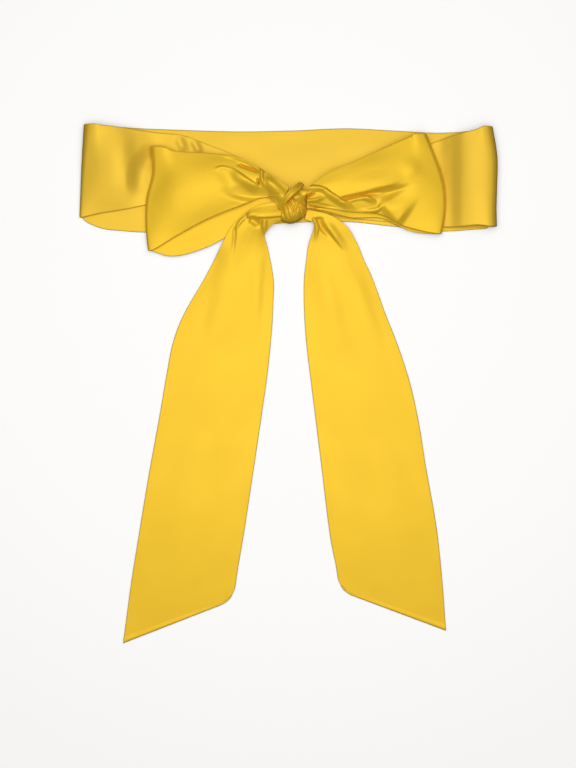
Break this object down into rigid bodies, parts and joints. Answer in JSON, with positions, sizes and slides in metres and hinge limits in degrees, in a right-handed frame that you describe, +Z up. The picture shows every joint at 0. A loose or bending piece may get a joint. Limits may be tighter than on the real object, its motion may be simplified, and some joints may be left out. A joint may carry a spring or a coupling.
{
  "type": "satin sash tied in a bow",
  "caption": "Long satin waist sash lying flat, tied in front in a soft bow, with two long tails cut on a slant.",
  "frame": {"origin": "on the surface that the sash lies on, under the middle of its outline", "axes": "+Y from the tails' ends towards the waist band, +X to the side of the tail that hangs on the viewer's right, +Z up from the surface"},
  "size_m": [0.4024, 0.5012, 0.0273],
  "materials": {
    "satin": "smooth satin with a soft broad sheen, dyed warm golden yellow"
  },
  "bodies": {
    "root": {"back_band": "satin", "front_left": "satin", "front_right": "satin", "bow_loop_left": "satin", "bow_loop_right": "satin", "tail_left": "satin", "tail_right": "satin", "knot": "satin", "knot_strap": "satin"}
  },
  "joints": []
}
